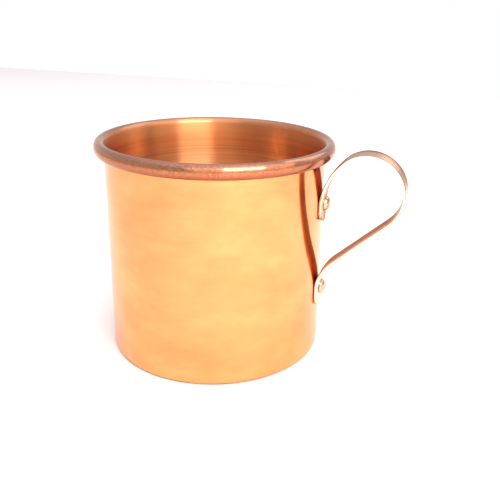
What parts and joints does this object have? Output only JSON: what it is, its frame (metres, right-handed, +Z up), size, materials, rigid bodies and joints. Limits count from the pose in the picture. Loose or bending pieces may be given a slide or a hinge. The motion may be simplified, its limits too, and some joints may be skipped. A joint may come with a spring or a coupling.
{
  "type": "mug",
  "caption": "Straight-sided copper mug with a rolled rim and a reeded strap handle riveted at both ends.",
  "frame": {"origin": "centre of the flat underside of the base", "axes": "+Z up out of the mouth, +X towards the handle"},
  "size_m": [0.1273, 0.0978, 0.089],
  "materials": {
    "spun_copper": "spun copper, polished, with fine lines round it",
    "wire_copper": "drawn copper wire",
    "strip_copper": "drawn and reeded copper strip, polished",
    "rivet_copper": "hammered copper"
  },
  "bodies": {
    "root": {"mug_body": "spun_copper", "rim_wire": "wire_copper", "handle_strap": "strip_copper", "upper_rivet": "rivet_copper", "lower_rivet": "rivet_copper"}
  },
  "joints": []
}
